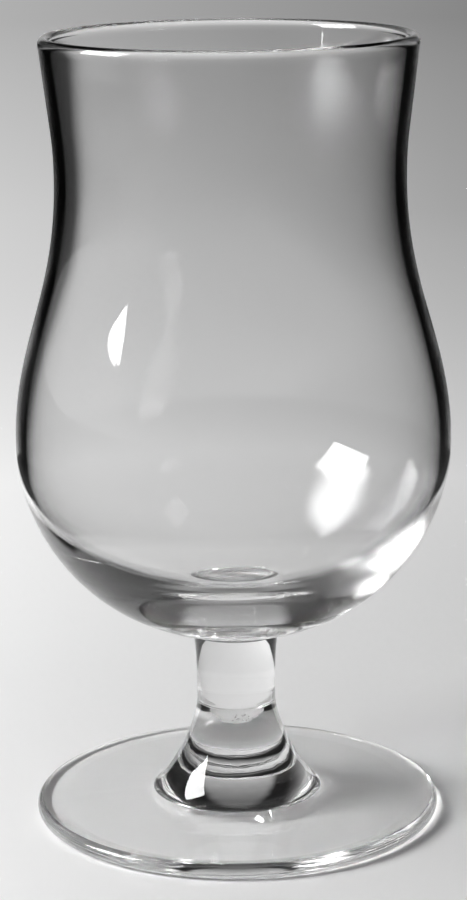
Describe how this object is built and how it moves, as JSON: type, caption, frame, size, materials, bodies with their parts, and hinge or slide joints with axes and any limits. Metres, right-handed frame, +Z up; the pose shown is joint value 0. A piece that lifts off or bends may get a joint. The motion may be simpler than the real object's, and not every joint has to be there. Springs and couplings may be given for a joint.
{
  "type": "ale glass",
  "caption": "Clear stemmed ale glass with a tulip-shaped bowl, flared round lip, heavy base, short solid stem and round flared foot.",
  "frame": {"origin": "middle of the foot, on the plane that the glass stands on", "axes": "+Z up along the axis that the bowl, stem and foot are turned about; +X and +Y are any two square directions across it"},
  "size_m": [0.091, 0.091, 0.165],
  "materials": {
    "bowl_glass": "clear, blown and fire-polished",
    "stem_glass": "clear, drawn smooth",
    "foot_glass": "clear, pressed and fire-polished"
  },
  "bodies": {
    "root": {"bowl": "bowl_glass", "stem": "stem_glass", "foot": "foot_glass"}
  },
  "joints": []
}
